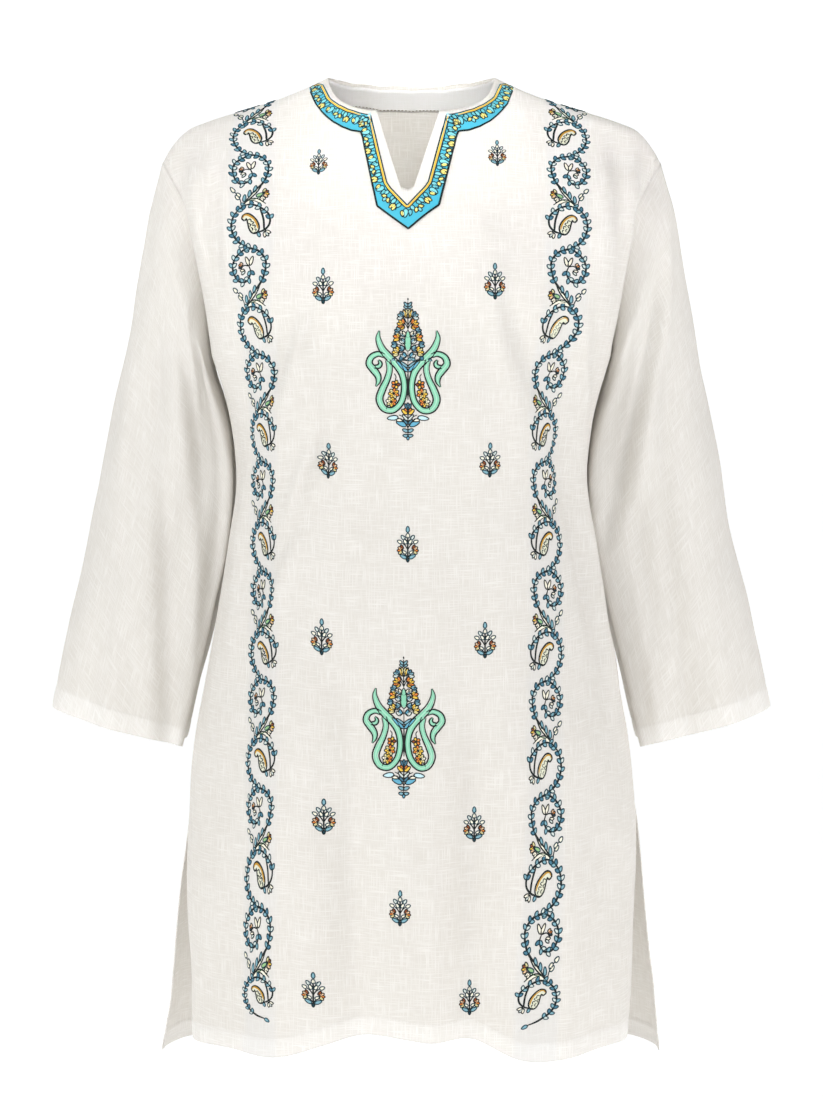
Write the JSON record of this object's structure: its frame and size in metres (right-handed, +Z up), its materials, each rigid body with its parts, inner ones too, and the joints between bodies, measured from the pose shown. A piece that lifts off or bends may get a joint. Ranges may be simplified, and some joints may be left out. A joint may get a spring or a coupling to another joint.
{
  "type": "kurta tunic",
  "caption": "Hollow worn kurta tunic in off-white cotton, with a notched neck, wide drop-shoulder sleeves, side slits and embroidered vines.",
  "frame": {"origin": "base of the neck, midway between the neck points of the two shoulder seams", "axes": "+Z up, -Y the front of the garment, +X to the right as seen from the front"},
  "size_m": [0.6724, 0.2767, 0.9087],
  "materials": {
    "cotton": "off-white slub cotton in plain weave, matt",
    "border": "turquoise silk applique, closely embroidered, slight sheen"
  },
  "bodies": {
    "root": {"front_panel": "cotton", "back_panel": "cotton", "sleeve_left": "cotton", "sleeve_right": "cotton", "neck_border": "border", "back_neck_facing": "cotton"}
  },
  "joints": []
}
